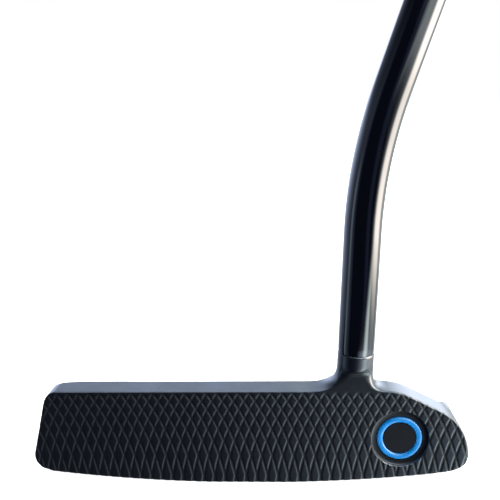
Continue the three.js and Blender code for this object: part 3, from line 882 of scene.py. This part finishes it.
class Studio:
    """Light that the metal mirrors, by direction: azimuth is in degrees from the front, positive to the
    right, and elevation in degrees above the floor."""

    def __init__(self, tree):
        self.n = n = Nodes(tree)
        direction = n.add("ShaderNodeTexCoord").outputs["Generated"]
        x, y, z = n.add("ShaderNodeSeparateXYZ", {"Vector": direction}).outputs
        self.azimuth = n.math("DEGREES", n.math("ARCTAN2", x, n.math("MULTIPLY", y, -1)))
        self.elevation = n.math("DEGREES", n.math("ARCSINE", z))
        self.total = None

    def across(self, start, end, low=0.0, high=1.0):
        return self.n.smooth(self.azimuth, start, end, low, high)

    def up(self, start, end, low=0.0, high=1.0):
        return self.n.smooth(self.elevation, start, end, low, high)

    def window(self, left, right, low, high, side, end):
        """1 inside a range of directions, with edges that fade over side and end degrees each way."""
        return self.n.product(
            self.across(left - side, left + side), self.across(right - side, right + side, 1, 0),
            self.up(low - end, low + end), self.up(high - end, high + end, 1, 0))

    def stripe(self, middle, lean, half):
        """1 along a soft upright stripe whose azimuth shifts by lean for each degree of elevation."""
        centre = self.n.math("ADD", middle, self.n.math("MULTIPLY", self.elevation, lean))
        away = self.n.math("ABSOLUTE", self.n.math("SUBTRACT", self.azimuth, centre))
        return self.n.smooth(away, half * 0.4, half * 1.6, 1, 0)

    def light(self, mask, strength, colour):
        """Adds light of one colour wherever mask isn't 0."""
        scale = self.n.math("MULTIPLY", mask, strength)
        node = self.n.add("ShaderNodeVectorMath", {0: colour, "Scale": scale}, operation="SCALE")
        if self.total is None:
            self.total = node.outputs[0]
        else:
            pair = {0: self.total, 1: node.outputs[0]}
            self.total = self.n.add("ShaderNodeVectorMath", pair, operation="ADD").outputs[0]


def window_side(studio):
    """1 on the main window's side of its near edge. The edge leans, so that the window reaches further
    forward higher up, and it comes forward again low down."""
    n = studio.n
    leaning = n.math("MULTIPLY", n.clip(studio.elevation, -12, 1), -3.2)
    low_down = n.clip(n.math("ADD", studio.elevation, 14), -10, 0)
    edge = n.math("ADD", n.math("ADD", leaning, 22), n.math("MULTIPLY", low_down, 2.4))
    inside = n.smooth(n.math("SUBTRACT", studio.azimuth, edge), -13, 13)
    return n.product(inside, studio.up(55, 75, 1, 0))


def light_right(studio):
    """The main window with its bright core, two low strips, two smaller lights and the pale table."""
    inside = window_side(studio)
    window = studio.n.product(inside, studio.across(128, 150, 1, 0.5), studio.up(-19, -12, 0.42, 1))
    studio.light(window, 1.2, (0.94, 1.0, 0.9))
    core = studio.n.product(studio.window(66, 108, -14, 55, 12, 7), inside)
    studio.light(core, 8.4, (1.15, 0.96, 0.75))
    near_strip = studio.n.product(studio.window(38, 66, -70, -16, 8, 4), inside)
    studio.light(near_strip, 2.5, (0.93, 1.04, 0.88))
    far_strip = studio.window(78, 112, -21, -14, 7, 3)
    studio.light(far_strip, 1.1, (1.1, 0.97, 0.82))
    behind = studio.window(138, 168, -4, 22, 8, 6)
    studio.light(behind, 3.2, (0.92, 0.99, 1.12))
    above = studio.window(2, 72, 16, 50, 8, 6)
    studio.light(above, 1.8, (0.9, 1.0, 1.05))
    table = studio.n.product(studio.across(-5, 34), studio.across(90, 130, 1, 0))
    table = studio.n.product(table, studio.up(-26, -20, 1, 0), studio.up(-44, -32, 0.15, 1))
    studio.light(table, 0.95, (0.93, 1.0, 1.08))


def light_left(studio):
    """The white backdrop on the left, brightest near the horizon, a thin pale stripe and a faint haze."""
    backdrop = studio.n.product(studio.across(-165, -88, 1, 0), studio.up(10, 20, 1, 0.12))
    backdrop = studio.n.product(backdrop, studio.up(-22, 6, 0.25, 1))
    studio.light(backdrop, 1.8, (0.88, 1.0, 1.27))
    stripe = studio.n.product(studio.stripe(-76, 0.45, 6), studio.up(0, 10, 1, 0))
    studio.light(stripe, 0.4, (0.8, 1.0, 1.05))
    haze = studio.window(-190, -62, -60, 25, 10, 10)
    studio.light(haze, 0.14, (0.85, 1.0, 1.2))


def light_around(studio):
    """A faint fill, a dim stripe in front, the ceiling, and the wall and the floor at the back.

    Limits past 180 or 90 degrees let a window take in everything on that side.
    """
    studio.light(1.0, 0.018, (0.82, 1.0, 1.9))
    studio.light(studio.stripe(14, -0.9, 9), 0.05, (0.8, 1.0, 1.6))
    ceiling = studio.window(-400, 400, 60, 200, 10, 10)
    studio.light(ceiling, 1.6, (0.95, 1.0, 1.05))
    for left, right in ((158, 300), (-300, -158)):
        studio.light(studio.window(left, right, 20, 75, 8, 6), 0.85, (0.88, 1.0, 1.2))
    for left, right in ((125, 400), (-400, -150)):
        studio.light(studio.window(left, right, -200, -14, 10, 8), 0.8, (0.93, 1.0, 1.1))


def make_studio():
    """Plain white to the camera. The metal mirrors a soft window on the right and pale surfaces around."""
    world = bpy.data.worlds.new("studio")
    bpy.context.scene.world = world
    world.use_nodes = True
    studio = Studio(world.node_tree)
    light_right(studio)
    light_left(studio)
    light_around(studio)
    n = studio.n
    mirrored = n.add("ShaderNodeBackground", {"Color": studio.total, "Strength": 1.0})
    seen = n.add("ShaderNodeBackground", {"Color": (1, 1, 1, 1), "Strength": 1.0})
    camera_ray = n.add("ShaderNodeLightPath").outputs["Is Camera Ray"]
    both = n.add("ShaderNodeMixShader", {0: camera_ray, 1: mirrored.outputs[0], 2: seen.outputs[0]})
    n.add("ShaderNodeOutputWorld", {"Surface": both.outputs[0]})


def make_camera():
    """Looks down at the face from about 18 cm away, as in a close view of a club on the ground."""
    data = bpy.data.cameras.new("camera")
    data.lens = 46.8
    data.sensor_width = 36.0
    data.clip_start = 0.005
    camera = bpy.data.objects.new("camera", data)
    bpy.context.scene.collection.objects.link(camera)
    place = Vector((8.53, -163.7, 97.4)) * MM
    away = Vector((0.04407, -0.97591, 0.21366))
    up = Vector((0.01245, 0.21439, 0.97667))
    right = up.cross(away).normalized()
    turn = Matrix((right, away.cross(right), away)).transposed().to_4x4()
    camera.matrix_world = Matrix.Translation(place) @ turn
    bpy.context.scene.camera = camera


make_floor()
make_studio()
make_camera()
bpy.context.scene.view_settings.view_transform = "Standard"
